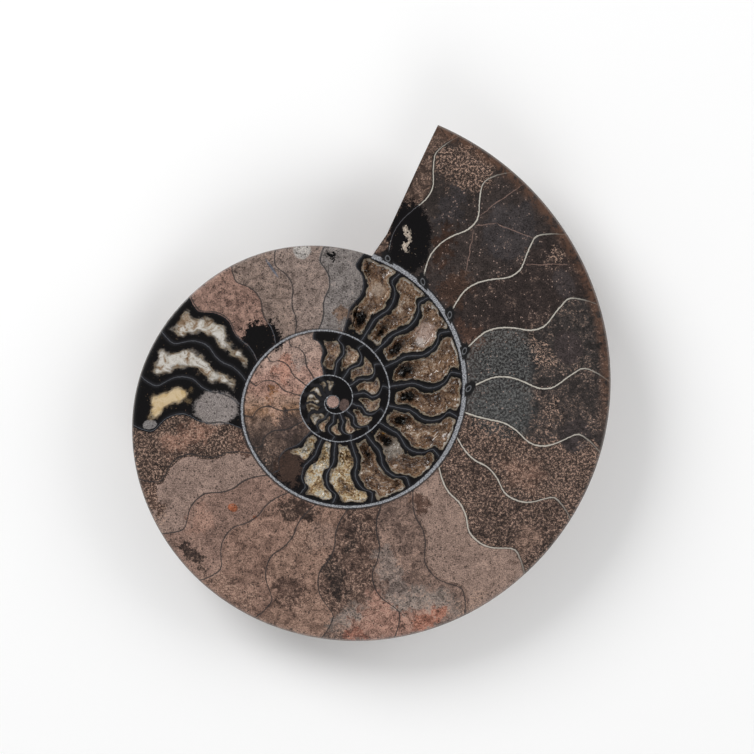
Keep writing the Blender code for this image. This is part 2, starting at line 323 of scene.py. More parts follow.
def snap_to_rims(made, angle, across):
    """Moves grid points along the grid's edges onto the rims of the cores that the edges cross."""
    number = {vertex: index for index, vertex in enumerate(made)}
    rim, depth, _, _ = core_distance(angle, across)
    edges = {edge for vertex in made for edge in vertex.link_edges}
    ends = np.array([[number[edge.verts[0]], number[edge.verts[1]]] for edge in edges])
    first, second = ends[:, 0], ends[:, 1]
    open_here = np.maximum(depth[first], depth[second]) > 0.0
    crossing = (rim[first] * rim[second] < 0.0) & (np.abs(rim[first] - rim[second]) < LONGEST_SNAP)
    crossing = crossing & open_here
    share = rim[first] / np.where(crossing, rim[first] - rim[second], 1.0)
    nearer = np.where(share < 0.5, first, second)
    other = np.where(share < 0.5, second, first)
    move = np.where(share < 0.5, share, 1.0 - share)
    order = np.argsort(-move)
    on_rim = np.zeros(len(made), bool)
    new_angle, new_across = angle.copy(), across.copy()
    for index in order[crossing[order]]:
        near, far, step = nearer[index], other[index], move[index]
        new_angle[near] = angle[near] + step * (angle[far] - angle[near])
        new_across[near] = across[near] + step * (across[far] - across[near])
        on_rim[near] = True
    return new_angle, new_across, on_rim


def split_at_rims(faces, marked):
    """Cuts each face that a rim crosses from corner to corner, so that the rim is a line of edges."""
    split = [face for face in faces if sum(vertex in marked for vertex in face.verts) == 2]
    for face in split:
        corners = list(face.verts)
        ends = [vertex for vertex in corners if vertex in marked]
        if abs(corners.index(ends[0]) - corners.index(ends[1])) == 2:
            bmesh.utils.face_split(face, ends[0], ends[1])


def face_turn(bm, turn, columns, rows, layers):
    """One turn of the cut face, with the places that its finish reads kept on every corner."""
    made, angle, across = turn_grid(bm, turn, columns, rows)
    angle, across, on_rim = snap_to_rims(made, angle, across)
    rim, depth, pitch, chamber = core_distance(angle, across)
    rim = np.where(on_rim, 0.0, rim)
    leaned = lean_to_mouth(angle, across)
    reach = tube_radius(leaned, across)
    x, y = reach * np.cos(np.radians(leaned)), reach * np.sin(np.radians(leaned))
    down = np.where(depth > 0.0, pit_level(np.minimum(rim, 0.0), depth, across), 0.0)
    if turn == 0:
        down = np.where(across > OUTER_ROW, POLISHED_EDGE, down)
    width = wall_radius(angle) - wall_radius(angle - TURN)
    outer_side = across > 0.5
    half = 0.5 * np.interp(np.where(outer_side, angle, angle - TURN), WALL_ANGLES, WALL_THICKNESS)
    half = np.where(outer_side & (turn == 0), 0.0, half)
    wall = np.where(outer_side, 1.0 - across, across) * width
    kept = list(zip(layers, ((x, y), (chamber, across), (pitch, rim), (wall, half))))
    faces = set()
    for index, vertex in enumerate(made):
        vertex.co = Vector((x[index], y[index], -down[index])) * MM
        for loop in vertex.link_loops:
            for layer, (first, second) in kept:
                loop[layer].uv = (first[index], second[index])
            faces.add(loop.face)
    split_at_rims(faces, {vertex for index, vertex in enumerate(made) if on_rim[index]})


def lay_face(bm):
    """The cut face: its turns merged along the tube's walls, and a cap over the first chamber."""
    layers = [bm.loops.layers.uv.new(name) for name in ("plan", "place", "spacing", "shell")]
    for turn, (columns, rows) in enumerate(FACE_TURNS):
        face_turn(bm, turn, columns, rows, layers)
    bmesh.ops.remove_doubles(bm, verts=bm.verts[:], dist=MERGE * MM)
    face_edge = [edge for edge in bm.edges if edge.is_boundary]
    centre_edge = [edge for edge in face_edge if edge.verts[0].co.to_2d().length < CENTRE_REACH]
    plan, place, spacing, shell = layers
    for cap in bmesh.ops.contextual_create(bm, geom=centre_edge)["faces"]:
        for loop in cap.loops:
            loop[plan].uv = loop.vert.co.xy / MM
            loop[place].uv = (0.0, 0.5)
            loop[spacing].uv = (NO_CORE, NO_CORE)
            loop[shell].uv = (NO_CORE, 0.0)


def back_turn(bm, turn, columns, rows):
    """One turn of the domed back, as deep as the fattest whorl over each of its points."""
    made, angle, across = turn_grid(bm, turn, columns, rows)
    depth = back_depth(angle, tube_radius(angle, across))
    leaned = lean_to_mouth(angle, across)
    turned = np.radians(leaned)
    reach = tube_radius(leaned, across)
    for index, vertex in enumerate(made):
        flat = Vector((reach[index] * math.cos(turned[index]), reach[index] * math.sin(turned[index]), 0.0))
        vertex.co = (flat - UP * depth[index]) * MM
        for face in vertex.link_faces:
            face.material_index = BACK


def outermost(edge):
    """Whether an open edge is on the stone's outer edge or its mouth, and not in a seam further in."""
    return min(vertex.co.to_2d().length for vertex in edge.verts) > MOUTH_FOOT


def close_stone(bm, face_verts):
    """Fills the back's seams, brings its outer edge up to the polished one and fills the broken mouth."""
    back_edge = [edge for edge in bm.edges if edge.is_boundary and edge.verts[0] not in face_verts]
    outer_edge = [edge for edge in back_edge if outermost(edge)]
    seams = [edge for edge in back_edge if not outermost(edge)]
    for face in bmesh.ops.holes_fill(bm, edges=seams, sides=0)["faces"]:
        face.material_index = BACK
    for item in bmesh.ops.extrude_edge_only(bm, edges=outer_edge)["geom"]:
        if isinstance(item, bmesh.types.BMVert):
            item.co.z = -POLISHED_EDGE * MM
        if isinstance(item, bmesh.types.BMFace):
            lowest = min(vertex.co.z for vertex in item.verts)
            item.material_index = BREAK if lowest < -BREAK_DEPTH * MM else BACK
    rims = {vertex for edge in bm.edges if edge.is_boundary and outermost(edge) for vertex in edge.verts}
    bmesh.ops.remove_doubles(bm, verts=list(rims), dist=RIM_MERGE * MM)
    gaps = [edge for edge in bm.edges if edge.is_boundary]
    for face in bmesh.ops.holes_fill(bm, edges=gaps, sides=0)["faces"]:
        face.material_index = BREAK


def finished_mesh(bm, name):
    """The bmesh as a mesh with a name."""
    mesh = bpy.data.meshes.new(name)
    bm.to_mesh(mesh)
    bm.free()
    return mesh


def stone_mesh():
    """The whole stone as one closed mesh in the resting pose, kept inside the box of the solids."""
    bm = bmesh.new()
    lay_face(bm)
    face_verts = set(bm.verts)
    for turn, (columns, rows) in enumerate(BACK_TURNS):
        back_turn(bm, turn, columns, rows)
    back_verts = [vertex for vertex in bm.verts if vertex not in face_verts]
    bmesh.ops.remove_doubles(bm, verts=back_verts, dist=MERGE * MM)
    close_stone(bm, face_verts)
    bmesh.ops.recalc_face_normals(bm, faces=bm.faces[:])
    bmesh.ops.transform(bm, matrix=RESTING, verts=bm.verts[:])
    for vertex in bm.verts:
        vertex.co = [min(max(place, low), high) for place, low, high in zip(vertex.co, *cad_box)]
    return finished_mesh(bm, "ammonite_stone")


def maths_method(operation, reflected=False):
    """A method that adds a Math node, with the value as its last number where it is reflected."""

    def method(value, *others):
        numbers = (*others, value) if reflected else (value, *others)
        return value.maths(operation, *numbers)

    return method


class Value:
    """A shader number. Python's operators on it add the Math nodes."""

    def __init__(self, finish, socket):
        self.finish = finish
        self.socket = socket

    def maths(self, operation, *numbers):
        return self.finish.node("ShaderNodeMath", {"operation": operation}, dict(enumerate(numbers)))

    __add__ = __radd__ = maths_method("ADD")
    __sub__ = maths_method("SUBTRACT")
    __rsub__ = maths_method("SUBTRACT", reflected=True)
    __mul__ = __rmul__ = maths_method("MULTIPLY")
    __truediv__ = maths_method("DIVIDE")
    __abs__ = maths_method("ABSOLUTE")
    least = maths_method("MINIMUM")
    most = maths_method("MAXIMUM")

    def __neg__(self):
        return 0.0 - self

    def rise(self, low, high, start=0.0, end=1.0):
        """Goes smoothly from start to end as the number passes from low to high."""
        inputs = {"Value": self, "From Min": low, "From Max": high, "To Min": start, "To Max": end}
        return self.finish.node("ShaderNodeMapRange", {"interpolation_type": "SMOOTHSTEP"}, inputs)


class Finish:
    """A material in the making. Its method `node` adds any node, and the others call it."""

    def __init__(self, name, **constants):
        self.material = bpy.data.materials.new(name)
        self.material.use_nodes = True
        self.tree = self.material.node_tree
        self.shader = self.tree.nodes["Principled BSDF"]
        for socket, value in constants.items():
            self.shader.inputs[socket.replace("_", " ")].default_value = value

    def node(self, kind, settings, inputs, output=0):
        made = self.tree.nodes.new(kind)
        for name, setting in settings.items():
            if name == "stops":
                self.set_stops(made.color_ramp, setting)
            elif name == "steps":
                made.color_ramp.interpolation = setting
            else:
                setattr(made, name, setting)
        for name, value in inputs.items():
            if isinstance(value, Value):
                self.tree.links.new(value.socket, made.inputs[name])
            else:
                made.inputs[name].default_value = value
        return Value(self, made.outputs[output])

    def set_stops(self, ramp, stops):
        while len(ramp.elements) > 1:
            ramp.elements.remove(ramp.elements[-1])
        ramp.elements[0].position = stops[0][0]
        ramp.elements[0].color = stops[0][1]
        for place, colour in stops[1:]:
            ramp.elements.new(place).color = colour

    def feed(self, socket, value):
        self.tree.links.new(value.socket, self.shader.inputs[socket])

    def bump(self, height, strength, distance):
        relief = {"Strength": strength, "Distance": distance, "Height": height}
        self.feed("Normal", self.node("ShaderNodeBump", {}, relief))

    def pair(self, name):
        """The two numbers that a corner layer keeps."""
        layer = self.node("ShaderNodeUVMap", {"uv_map": name}, {})
        return [self.node("ShaderNodeSeparateXYZ", {}, {0: layer}, axis) for axis in (0, 1)]

    def ramp(self, value, tones):
        """The tones of a list of stops, read at a number."""
        stops = [(place, solid(tone)) for place, tone in tones]
        return self.node("ShaderNodeValToRGB", {"stops": stops}, {0: value})

    def blend(self, share, first, second, mode="MIX"):
        settings = {"data_type": "RGBA", "blend_type": mode}
        return self.node("ShaderNodeMix", settings, {0: share, 6: first, 7: second}, 2)

    def paint(self, share, under, tone):
        """Lays a plain tone over what is under it."""
        return self.blend(share, under, solid(tone))

    def vector(self, operation, first, second, output=0):
        return self.node("ShaderNodeVectorMath", {"operation": operation}, {0: first, 1: second}, output)

    def scaled(self, vector, factor):
        return self.node("ShaderNodeVectorMath", {"operation": "SCALE"}, {0: vector, "Scale": factor})

    def cloud(self, place, scale, detail=3.0, roughness=0.55, warp=0.0, output=0):
        inputs = {0: place, "Scale": scale, "Detail": detail, "Roughness": roughness, "Distortion": warp}
        return self.node("ShaderNodeTexNoise", {}, inputs, output)

    def cells(self, place, scale, feature="F1"):
        inputs = {"Vector": place, "Scale": scale}
        return self.node("ShaderNodeTexVoronoi", {"feature": feature}, inputs, "Distance")


COLOUR_OUTPUT = 1


def linear(part):
    """A screen's share of light, from 0 to 1, made linear."""
    return ((part + 0.055) / 1.055) ** 2.4 if part > 0.04 else part / 12.92


def solid(tone):
    """A tone as the eye reads it on a screen, from 0 to 255, made linear and opaque."""
    return (*(linear(part / 255) for part in tone), 1.0)


# The chamber fillings of the cut face, by the septum that each one follows: the mud's colour, how thickly
# grains of sand lie in it, and how blotched it is. Colours are as the eye reads them on a screen, 0 to 255.

INK = (17, 16, 17)
MUDS = (
    (75.2, (118, 113, 111), 0.1, 0.35),
    (92.4, (129, 115, 108), 0.1, 0.4),
    (110.1, (123, 108, 100), 0.15, 0.5),
    (126.1, (130, 105, 95), 0.3, 0.6),
    (142.5, INK, 0.0, 0.0),
    (156.5, INK, 0.0, 0.0),
    (171.1, INK, 0.0, 0.0),
    (185.1, (56, 44, 39), 0.85, 1.0),
    (200.2, (136, 117, 108), 0.0, 0.15),
    (216.0, (128, 105, 95), 0.3, 0.3),
    (231.7, (120, 96, 85), 0.45, 0.5),
    (248.5, (124, 100, 88), 0.5, 0.55),
    (265.7, (80, 63, 56), 0.65, 0.7),
    (283.1, (108, 90, 82), 0.5, 0.6),
    (300.2, (138, 118, 108), 0.05, 0.2),
    (316.5, (58, 46, 42), 0.8, 0.9),
    (332.2, (58, 47, 43), 0.9, 0.9),
    (348.4, (52, 47, 46), 0.4, 0.5),
    (363.9, (50, 46, 45), 0.3, 0.5),
    (379.9, (47, 39, 37), 0.15, 0.4),
    (395.4, (52, 45, 43), 0.0, 0.3),
    (411.9, (46, 40, 38), 0.05, 0.4),
    (428.3, (72, 58, 51), 0.5, 0.6),
)

# Patches of other colours: angle, share across, half length along the whorl and half breadth across it in
# millimetres, tilt in degrees, colour, and how ragged the edge is.
PATCHES = (
    (101.5, 0.95, 3.6, 3.6, 0, (156, 153, 150), 0.5),
    (114.5, 0.8, 0.5, 4.6, 10, (96, 100, 110), 0.6),
    (83, 0.18, 3.4, 3, 30, (108, 90, 78), 0.9),
    (193, 0.5, 4.5, 11, 10, (116, 88, 76), 1.2),
    (208, 0.94, 8.5, 2.6, 0, (70, 53, 46), 0.9),
    (204, 0.07, 6, 3, 0, (86, 66, 58), 0.9),
    (226.5, 0.4, 2, 1.6, 20, (142, 84, 58), 0.5),
    (236, 0.33, 0.9, 0.7, 20, (128, 82, 62), 0.5),
    (228, 0.9, 6, 2.6, 0, (52, 40, 36), 0.9),
    (222, 0.68, 5, 6, 10, (140, 112, 100), 0.9),
    (244, 0.35, 8, 5, 0, (134, 108, 96), 1),
    (252, 0.12, 7, 3.6, 0, (62, 48, 42), 1),
    (257, 0.7, 6, 7, 0, (86, 67, 59), 0.9),
    (266, 0.25, 5, 5.5, 20, (120, 99, 89), 0.9),
    (271, 0.55, 3.6, 8, 15, (50, 40, 37), 1.3),
    (277, 0.3, 2.4, 3, 15, (48, 38, 35), 1.3),
    (281, 0.16, 4.4, 5, 0, (66, 52, 47), 1.2),
    (286, 0.84, 25, 9.5, -4, (126, 116, 110), 0.9),
    (289, 0.5, 4.6, 11, 0, (122, 110, 104), 0.9),
    (285, 0.9, 21, 5.8, -4, (143, 111, 99), 0.8),
    (282, 0.79, 6.5, 7, 10, (141, 109, 97), 0.9),
    (294, 0.93, 8, 2.6, 0, (146, 100, 84), 1.1),
    (275, 0.96, 5, 1.8, 0, (140, 96, 82), 1.1),
    (311, 0.1, 4, 5, 0, (88, 68, 59), 0.9),
    (324, 0.85, 7, 4, 0, (110, 90, 80), 1),
    (340, 0.55, 6.5, 8, 0, (92, 71, 62), 1.1),
    (356.5, 0.28, 10, 13.5, 10, (50, 51, 52), 0.7),
    (371.5, 0.3, 10, 13, 0, (42, 42, 43), 0.7),
    (386, 0.08, 7, 4.6, 0, (70, 52, 44), 0.9),
    (404, 0.7, 11, 11, 0, (56, 52, 53), 0.9),
    (403, 0.16, 6, 8, 0, (62, 46, 38), 0.9),
    (418.5, 0.55, 5, 11, 10, (50, 46, 47), 0.9),
    (415, 0.3, 4, 9, 20, (52, 36, 28), 0.9),
    (420.5, 0.83, 11, 8.5, 0, (54, 44, 40), 1),
    (-148, 0.62, 7, 4, 0, (84, 70, 63), 0.8),
    (-152, 0.25, 5, 5, 0, (70, 58, 54), 0.8),
    (-214, 0.55, 5, 3.4, 20, (158, 120, 106), 1),
    (-236, 0.5, 3.6, 3, 0, (150, 132, 124), 0.9),
    (-186, 0.45, 4.6, 2.2, 0, (124, 86, 58), 1),
    (-176, 0.4, 5.6, 2.6, 0, (152, 124, 108), 1.1),
)

# The same, but smooth and without sand
SMOOTH_PATCHES = (
    (352, 0.8, 7, 6, 0, (56, 50, 50), 0.6),
    (373, 0.73, 7, 5.6, 0, (60, 53, 53), 0.6),
    (387, 0.82, 6.5, 4, 0, (56, 50, 50), 0.6),
)

# Dark calcite in the mud
DARK_PATCHES = (
    (91, 0.92, 1.6, 3.4, 25, INK, 0.7),
    (138.5, 0.16, 7.4, 7.4, 15, INK, 0.9),
    (425, 0.22, 8.6, 14.5, 22, INK, 0.6),
)

# Lobes of mud in the dark calcite
MUD_LOBES = (
    (183, 0.24, 6.8, 8.8, 0, (130, 124, 122), 0.5),
    (187, 0.84, 1.8, 2.8, 0, (126, 124, 124), 0.6),
    (425.6, 0.2, 1.5, 6.4, 30, (164, 154, 142), 0.8),
    (-124, 0.68, 5.6, 7, 10, (60, 45, 38), 0.9),
    (-735, 0.5, 2.5, 1.9, 0, (82, 68, 64), 0.5),
    (-900, -1, 2.4, 2.4, 0, (150, 126, 118), 0.2),
)

# Where grains of sand lie thickly: angle, share across, half length, half breadth and tilt
SANDS = (
    (420.5, 0.83, 12, 9, 0),
    (393, 0.86, 3, 5, 0),
    (374, 0.52, 8, 4.5, 25),
    (357, 0.62, 6, 4, 15),
    (346, 0.9, 9, 4, 0),
    (210, 0.93, 9, 2.5, 0),
    (240, 0.9, 16, 4, 0),
    (305, 0.93, 9, 3, 0),
    (257, 0.3, 6, 6, 0),
)

# Fine pale veins, from one end (x, y) to the other in millimetres
VEINS = (
    (78.3, 89.4, 58.8, 75.6),
    (79.2, 56.1, 96.2, 56.3),
    (58.3, 72.1, 66.9, 73.0),
    (66.9, 73.0, 82.4, 66.9),
    (57.8, 70.5, 54.2, 52.0),
)

# The finish of the cut face. Its patterns are read in millimetres from the places kept at the mesh's corners.

COUNT_EDGE = 0.001
LATE_START = 348.4
SWIRL_REACH = 22.0
BEND_SHARE = 0.12

face = Finish("polished_cut_face", Coat_Roughness=0.12, IOR=1.5)
plan = face.node("ShaderNodeUVMap", {"uv_map": "plan"}, {})
counted, across = face.pair("place")
pitch, rim = face.pair("spacing")
wall, wall_half = face.pair("shell")
drift = face.cloud(plan, 0.1, 5.0)
blotch = face.cloud(plan, 0.32, 6.0, 0.68, 0.9)
grain = face.cloud(plan, 1.9, 3.0, 0.8)
sand = face.cloud(plan, 1.0, 3.0, 0.8)
dots = face.cells(plan, 0.55)
waver = (face.cloud(plan, 0.9, 2.0) - 0.5) * 0.6
swirl = face.cloud(plan, 0.17, 6.0, 0.7, output=COLOUR_OUTPUT)
swirl = face.vector("SUBTRACT", swirl, (0.5, 0.5, 0.5))
swirl = face.scaled(swirl, SWIRL_REACH)
wandering = face.vector("ADD", plan, swirl)
chamber = counted + waver / pitch


def after(septum, margin):
    """One in every chamber from this septum on, changing over the margin on both sides of it."""
    number = septum_number(septum)
    return chamber.rise(number - margin, number + margin)


def before(septum, margin):
    """One in every chamber up to this septum."""
    return after(septum, -margin)


def step_ramp(stops):
    """A colour for every chamber of the outer whorl, changing sharply at its septa."""
    first = septum_number(LAST_SEPTA[0])
    count = len(SEPTA) - first
    places = [((septum_number(angle) - first) / count, colour) for angle, colour in stops]
    share = (chamber - float(first)) / float(count)
    return face.node("ShaderNodeValToRGB", {"steps": "CONSTANT", "stops": places}, {0: share})


# The muds of the outer whorl, and the middle whorl's mud, which settled in level layers
LEVEL_LAYERS = (
    (0.0, (53, 45, 42)),
    (0.2, (60, 50, 46)),
    (0.33, (96, 80, 71)),
    (0.4, (84, 67, 57)),
    (0.46, (126, 98, 77)),
    (0.56, (142, 118, 104)),
    (0.64, (142, 112, 100)),
    (0.78, (158, 129, 118)),
    (1.0, (150, 132, 123)),
)
LOWEST_LAYER = -34.0
HIGHEST_LAYER = 30.0

mud = step_ramp([(angle, solid(tone)) for angle, tone, _, _ in MUDS])
mix = step_ramp([(angle, (*mixture, float(tone == INK), 1.0)) for angle, tone, *mixture in MUDS])
grains, blotches, inky = [face.node("ShaderNodeSeparateColor", {}, {0: mix}, part) for part in range(3)]
_, height = face.pair("plan")
level = height + (drift - 0.5) * 14.0
layered = face.ramp(level.rise(LOWEST_LAYER, HIGHEST_LAYER), LEVEL_LAYERS)
outer = after(LAST_SEPTA[0], COUNT_EDGE)
after_mud = after(MIDDLE_SEPTA[0], COUNT_EDGE)
in_mud = after(MUD_SEPTA[0], COUNT_EDGE) * (1 - after_mud)
colour = face.blend(in_mud, solid(INK), layered)
colour = face.blend(outer, colour, mud)
muddy = (in_mud + outer * (1 - inky)).least(1.0)
grains = outer * grains + in_mud * 0.35
blotches = outer * blotches + in_mud * 0.55
late_whorl = after(LATE_START, 0.02)

# Patches of other colours over the muds, some smooth and some sandy
WANDERING_EDGE = 0.7
roughness = (blotch - 0.5) * 1.6 + (grain - 0.5) * 0.9


def cover(where, x, y, rotation, length, breadth, ragged):
    """One inside a turned oval with a ragged edge and nothing outside it."""
    offset = face.vector("SUBTRACT", where, (x, y, 0.0))
    along = (math.cos(rotation) / length, math.sin(rotation) / length, 0.0)
    aside = (-math.sin(rotation) / breadth, math.cos(rotation) / breadth, 0.0)
    u, v = [face.vector("DOT_PRODUCT", offset, axis, "Value") for axis in (along, aside)]
    reach = v.maths("MULTIPLY_ADD", v, v, u * u)
    reach = reach.maths("SQRT", reach)
    reach = reach.maths("MULTIPLY_ADD", roughness, ragged, reach)
    return reach.rise(1.0 + 0.22 * ragged, 1.0 - 0.12 * ragged)


def whorl_cover(angle, share, length, breadth, tilt, ragged):
    """The cover of a patch placed in its whorl. A share below nothing is the shell's very centre."""
    radius = float(tube_radius(np.array(angle), share)) if share >= 0.0 else 0.0
    turn = math.radians(angle)
    where = wandering if ragged >= WANDERING_EDGE else plan
    rotation = turn + math.radians(90.0 + tilt)
    return cover(where, radius * math.cos(turn), radius * math.sin(turn), rotation, length, breadth, ragged)


for *place, patch_colour, ragged in PATCHES:
    colour = face.paint(whorl_cover(*place, ragged), colour, patch_colour)
for *place, patch_colour, ragged in SMOOTH_PATCHES:
    covered = whorl_cover(*place, ragged)
    colour = face.paint(covered, colour, patch_colour)
    grains = grains * (1 - covered)
for *place, patch_colour, ragged in DARK_PATCHES:
    covered = whorl_cover(*place, ragged)
    colour = face.paint(covered, colour, patch_colour)
    muddy = muddy * (1 - covered)
for *place, patch_colour, ragged in MUD_LOBES:
    covered = whorl_cover(*place, ragged)
    colour = face.paint(covered, colour, patch_colour)
    muddy = muddy.most(covered)
for place in SANDS:
    grains = grains.most(whorl_cover(*place, 1.0))

# Light and dark mottling, grains of sand, dark pits, thin cracks and pale veins
LIGHTENING = (1.8, 1.76, 1.72, 1.0)
DARKENING = (0.3, 0.27, 0.26, 1.0)
SAND = (180, 150, 132)
GREY_SAND = (104, 103, 101)
GREY_GRANULE = (112, 112, 110)
SPECK = (170, 144, 132)
PIT = (30, 23, 21)
CRACK = (52, 38, 32)
VEIN = (140, 114, 104)
VEIN_HALF = 0.2

mottle = (drift - 0.5) * 0.5 + (blotch - 0.5) * (blotches * 2.6 + 0.6) + (grain - 0.5) * 2.4 + 0.5
lighter = face.blend(1.0, colour, LIGHTENING, "MULTIPLY")
darker = face.blend(1.0, colour, DARKENING, "MULTIPLY")
mottled = face.blend(mottle.rise(0.0, 1.0), darker, lighter)
colour = face.blend(muddy, colour, mottled)
spread = (grains * 1.25 - 0.35 + (blotch - 0.5) * 3.5 + (drift - 0.5) * 2.0).least(0.95).most(0.0)
sandy = (sand + (grain - 0.5) * 0.6).rise(0.53, 0.57) * spread * muddy
grey_place = after(LATE_START, 0.02)
grey_place = grey_place * before(379.9, 0.02)
grey_place = grey_place * across.rise(0.5, 0.42)
sand_colour = face.blend(grey_place, solid(SAND), solid(GREY_SAND))
colour = face.blend(sandy, colour, sand_colour)
granules = (sand - grain * 0.5 + 0.25).rise(0.5, 0.56) * grey_place
colour = face.paint(granules * 0.7, colour, GREY_GRANULE)
specks = face.cells(plan, 0.7).rise(0.22, 0.12) * blotch.rise(0.46, 0.54) * late_whorl
colour = face.paint(specks * muddy * 0.8, colour, SPECK)
pits = dots.rise(0.26, 0.14) * grain.rise(0.4, 0.5) + sand.rise(0.4, 0.35) * 0.9
colour = face.paint(pits.least(0.85) * muddy, colour, PIT)
cracks = face.cells(wandering, 0.055, "DISTANCE_TO_EDGE")
cracked = cracks.rise(0.014, 0.004) * drift.rise(0.46, 0.54) * muddy * (1 - late_whorl)
colour = face.paint(cracked * 0.6, colour, CRACK)
bent = face.scaled(swirl, BEND_SHARE)
bent = face.vector("ADD", plan, bent)
for x1, y1, x2, y2 in VEINS:
    half_length = math.hypot(x2 - x1, y2 - y1) / 2.0
    slant = math.atan2(y2 - y1, x2 - x1)
    vein = cover(bent, (x1 + x2) / 2.0, (y1 + y2) / 2.0, slant, half_length, VEIN_HALF, 0.25)
    colour = face.paint(vein * 0.6, colour, VEIN)

# Dark calcite lines the chambers, with gold flecks in it and a bluer band beside each septum
GOLD_FLECK = (136, 112, 84)
LINING = (43, 43, 46)

flecks = face.cells(plan, 0.8).rise(0.2, 0.1) * blotch.rise(0.5, 0.62) * (1 - muddy)
colour = face.paint(flecks * 0.45, colour, GOLD_FLECK)
septum = face.node("ShaderNodeMath", {"operation": "PINGPONG"}, {0: chamber, 1: 0.5}) * pitch
dark = 1 - muddy
near_core = rim.rise(14.0, 4.0) * dark
band = septum.rise(1.5, 0.3) * near_core
colour = face.paint(band * 0.65, colour, LINING)

# The calcite cores of the flush chambers, and the pale rim and inside of the open ones
CORE_TONES = (
    (0.32, (84, 66, 50)),
    (0.42, (138, 116, 94)),
    (0.49, (178, 172, 162)),
    (0.56, (206, 202, 196)),
    (0.63, (160, 152, 142)),
    (0.74, (112, 92, 72)),
)
GOLDEN_CALCITE = (206, 178, 128)
EARLY_CALCITE = (60, 50, 40)
CORE_EDGE = (84, 66, 50)
DRUSE_RIM = (150, 136, 116)

soft = after(LAST_SEPTA[0], 0.02) * 0.5 + 0.12
in_core = (-rim - (blotch - 0.5) * outer * 5.0 - (grain - 0.5) * outer * 2.0) / (soft + outer * 0.8)
in_core = in_core.rise(-1.0, 1.0)
tint = face.cloud(plan, 0.2, 5.0, 0.6, 1.2)
calcite = face.ramp(tint * 0.8 + grain * 0.2, CORE_TONES)
golden = after(171.1, 0.01)
golden = golden * before(185.1, 0.01)
calcite = face.paint(golden * 0.7, calcite, GOLDEN_CALCITE)
early = before(INNER_SEPTA[0], 0.01)
calcite = face.paint(early * tint.rise(0.62, 0.42), calcite, EARLY_CALCITE)
calcite = face.paint(rim.rise(-0.7, 0.1) * 0.6, calcite, CORE_EDGE)
colour = face.blend(in_core, colour, calcite)
edge = rim.rise(0.45, 0.2) * rim.rise(-0.5, -0.1) * blotch.rise(0.4, 0.6)
colour = face.paint(edge * 0.7, colour, DRUSE_RIM)

# The septa: dark lines in the mud, grey ones in the dark calcite and broad cream ones in the late chambers
THIN_LINE = (42, 39, 40)
CREAM_LINE = (196, 190, 179)
GREY_LINE = (104, 106, 112)
LINE_SHADOW = (34, 28, 27)

late_septum = septum_number(316.5)
first_drawn = len(FIRST_SEPTA)
late = chamber.rise(late_septum - 0.7, late_septum - 0.3)
mud_line = face.blend(late, solid(THIN_LINE), solid(CREAM_LINE))
line_colour = face.paint(dark, mud_line, GREY_LINE)
half_line = 0.28 - dark * 0.13
drawn = chamber.rise(first_drawn - 0.5, first_drawn + 0.5) * (1 - in_core)
outline = (half_line + 0.4 - septum).rise(-0.2, 0.2) * late * drawn
colour = face.paint(outline * 0.6, colour, LINE_SHADOW)
fading = across.rise(0.97, 0.72, 0.3, 1.0) * late + (1 - late)
line = (half_line - septum).rise(-0.13, 0.13) * (0.9 - 0.35 * dark) * drawn
colour = face.blend(line * fading, colour, line_colour)

# The wall of the shell between two whorls, rings at the feet of the last septa, and the rusty outer edge
DULL_SILVER = (90, 91, 95)
BRIGHT_SILVER = (178, 180, 185)
WALL_SHADOW = (30, 29, 31)
RING_SILVER = (146, 148, 152)
RING_CENTRE = 1.6
RING_RADIUS = 1.0
RUST = (92, 64, 48)
PAINTED_EDGE_HIGHLIGHT = (128, 122, 118)

silver = face.blend(grain.rise(0.4, 0.62), solid(DULL_SILVER), solid(BRIGHT_SILVER))
walled = (wall_half + waver * 0.9 - wall).rise(-0.14, 0.14) * wall_half.rise(0.05, 0.1)
shadowed = (wall_half + 0.7 + waver * 0.9 - wall).rise(-0.3, 0.3) * wall_half.rise(0.15, 0.4)
colour = face.paint(shadowed * 0.85, colour, WALL_SHADOW)
colour = face.blend(walled, colour, silver)
feet = septum * septum + (wall - RING_CENTRE) * (wall - RING_CENTRE)
feet = feet.maths("SQRT", feet)
late_number = septum_number(LATE_START)
at_feet = across.rise(0.5, 0.4) * chamber.rise(late_number + 0.5, late_number + 0.6)
colour = face.paint((feet + (blotch - 0.5) * 4.0).rise(3.4, 2.4) * at_feet, colour, INK)
rings = (0.2 - abs(feet - RING_RADIUS)).rise(-0.15, 0.15)
colour = face.paint(rings * at_feet * 0.4, colour, RING_SILVER)
rusty = across.rise(0.9, 0.975) * blotch.rise(0.38, 0.55)
rusty = rusty * chamber.rise(late_number, late_number + 1.0)
colour = face.paint(rusty * outer * 0.7, colour, RUST)
# A paler band painted along the polished outermost edge: a painted highlight where the bevel catches light
edge_highlight = across.rise(0.984, 0.994) * outer
colour = face.paint(edge_highlight * 0.55, colour, PAINTED_EDGE_HIGHLIGHT)

face.feed("Base Color", colour)
face.feed("Roughness", (muddy * 0.16 + 0.2 + (grain - 0.5) * 0.16 + walled * 0.1).most(0.08))
face.feed("Coat Weight", 0.4 - 0.2 * muddy)
face.bump(grain, 0.25, 0.00015)


# The back is weathered shell with pale grit and frilly sutures. The mouth is rough mudstone.

SHELL_TONES = (
    (0.3, (44, 38, 36)),
    (0.42, (72, 60, 54)),
    (0.52, (104, 84, 72)),
    (0.62, (132, 112, 98)),
    (0.74, (96, 82, 74)),
)
SUTURE = (46, 39, 36)
BACK_GRIT = (162, 142, 126)
BREAK_TONES = (
    (0.35, (52, 44, 41)),
    (0.5, (92, 76, 68)),
    (0.65, (128, 108, 96)),
)


